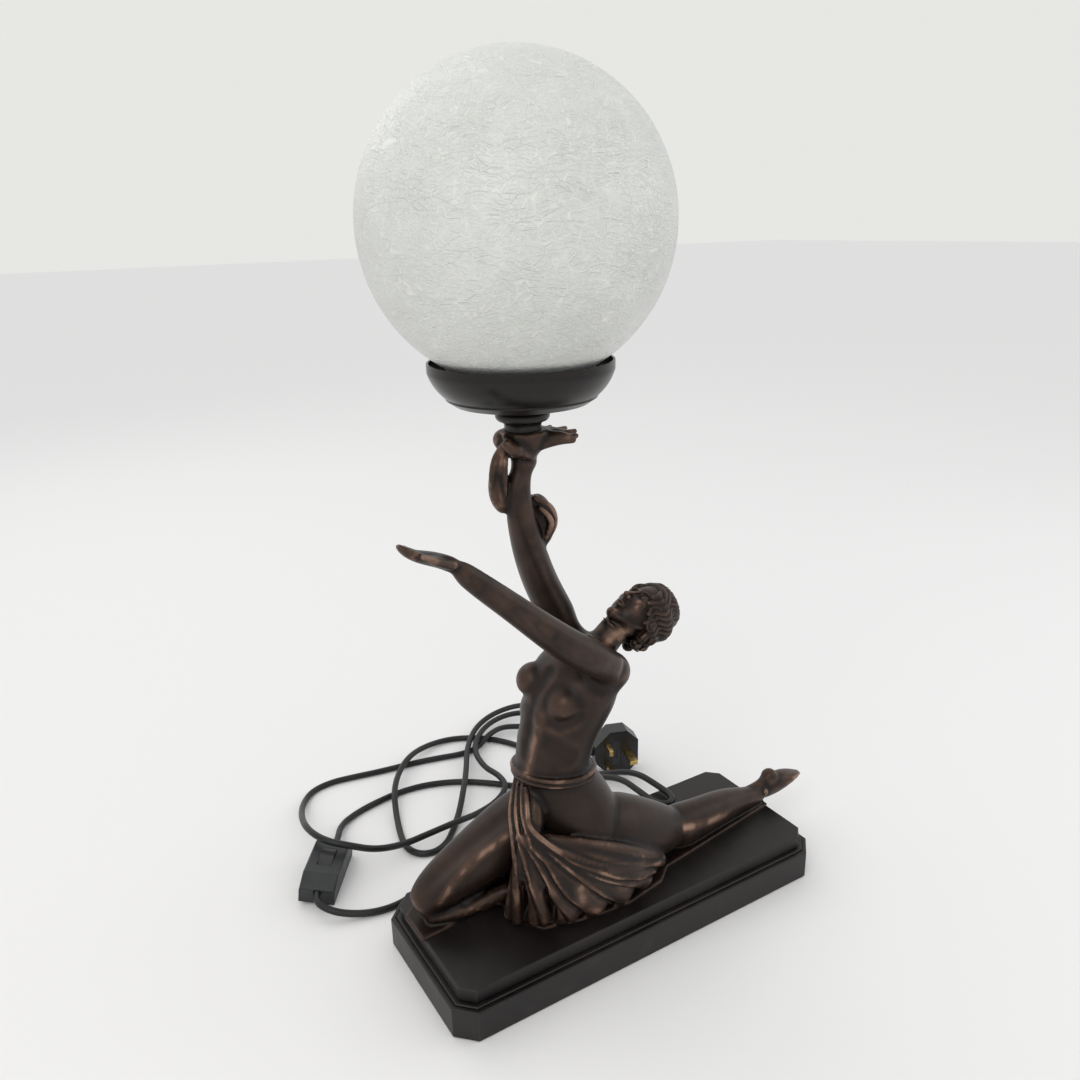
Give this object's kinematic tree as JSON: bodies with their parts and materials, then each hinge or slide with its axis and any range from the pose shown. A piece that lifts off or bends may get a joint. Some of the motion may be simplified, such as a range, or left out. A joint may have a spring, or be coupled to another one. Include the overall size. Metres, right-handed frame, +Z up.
{
  "type": "figural table lamp",
  "caption": "Figural table lamp: a kneeling dancer on an octagonal plinth holds up a gallery cup with a crackle glass globe; flex with in-line switch and plug.",
  "frame": {"origin": "middle of the plinth's underside, on the surface that the lamp stands on", "axes": "+Z up, +X along the plinth towards the dancer's pointed foot, -Y towards the front"},
  "size_m": [0.4434, 0.4242, 0.6478],
  "materials": {
    "bronzed_casting": "dark brown bronzed patina with coppery rub-through on the high points",
    "plinth_casting": "near-black brown satin",
    "steel_plate": "plain sheet",
    "felt": "dark green baize",
    "zinc_screws": "zinc plated",
    "brass": "turned brass",
    "bronzed_brass": "bronzed brass, satin gloss",
    "rubber": "soft black rubber",
    "crackle_glass": "frosted crackle glass",
    "clear_glass": "clear",
    "lamp_wire": "drawn wire",
    "bakelite": "moulded black phenolic",
    "ceramic_insert": "glazed porcelain",
    "aluminium_cap": "rolled thread",
    "flex_sheath": "black round flex",
    "black_plastic": "black moulding, fine texture",
    "plug_plastic": "black moulding",
    "carrier_plastic": "black moulding",
    "fuse_body": "cream tube"
  },
  "bodies": {
    "root": {"plinth": "plinth_casting", "base_plate": "steel_plate", "felt_pad": "felt", "base_screws": "zinc_screws", "cord_gland": "rubber", "cord_clamp": "black_plastic", "cord_clamp_screws": "zinc_screws", "figure_bolts": "zinc_screws", "figure_washers": "zinc_screws", "figure_body": "bronzed_casting", "head": "bronzed_casting", "raised_arm": "bronzed_casting", "outstretched_arm": "bronzed_casting", "raised_arm_pins": "zinc_screws", "outstretched_arm_dowel": "zinc_screws", "neck_dowel": "zinc_screws", "stem_nipple": "brass", "stem_locknut": "brass", "stem_collar": "bronzed_brass", "gallery_cup": "bronzed_brass", "globe_gasket": "rubber", "lampholder_cap": "bakelite", "lampholder_shell": "bakelite", "lampholder_insert": "ceramic_insert", "lampholder_sleeve": "brass", "lampholder_contact": "brass", "switch_lower_case": "black_plastic", "switch_upper_case": "black_plastic", "switch_rocker_pin": "zinc_screws", "switch_contacts": "brass", "switch_screws": "zinc_screws", "plug_body": "plug_plastic", "plug_earth_pin": "brass", "plug_line_neutral_pins": "brass", "plug_sleeve": "rubber", "inner_flex": "flex_sheath", "flex_lower": "flex_sheath", "flex_upper": "flex_sheath"},
    "globe": {"globe": "crackle_glass"},
    "bulb": {"bulb_cap": "aluminium_cap", "bulb_contact": "brass", "bulb_glass": "clear_glass", "bulb_filament": "lamp_wire"},
    "rocker": {"switch_rocker": "black_plastic"},
    "fuse_carrier": {"plug_fuse_carrier": "carrier_plastic", "plug_fuse": "fuse_body"}
  },
  "joints": [
    {"name": "globe_lift", "type": "slide", "parent": "root", "child": "globe", "axis": [0, 0, 1], "range_m": [0, 0.14]},
    {"name": "bulb_lift", "type": "slide", "parent": "root", "child": "bulb", "axis": [0, 0, 1], "range_m": [0, 0.03]},
    {"name": "switch_rocker_tilt", "type": "hinge", "parent": "root", "child": "rocker", "pos_m": [-0.19181, 0.15852, 0.02097], "axis": [-0.821, 0.5538, 0.1392], "range_deg": [0, 14]},
    {"name": "fuse_carrier_pull", "type": "slide", "parent": "root", "child": "fuse_carrier", "axis": [-0.342, -0.9397, 0], "range_m": [0, 0.012]}
  ]
}
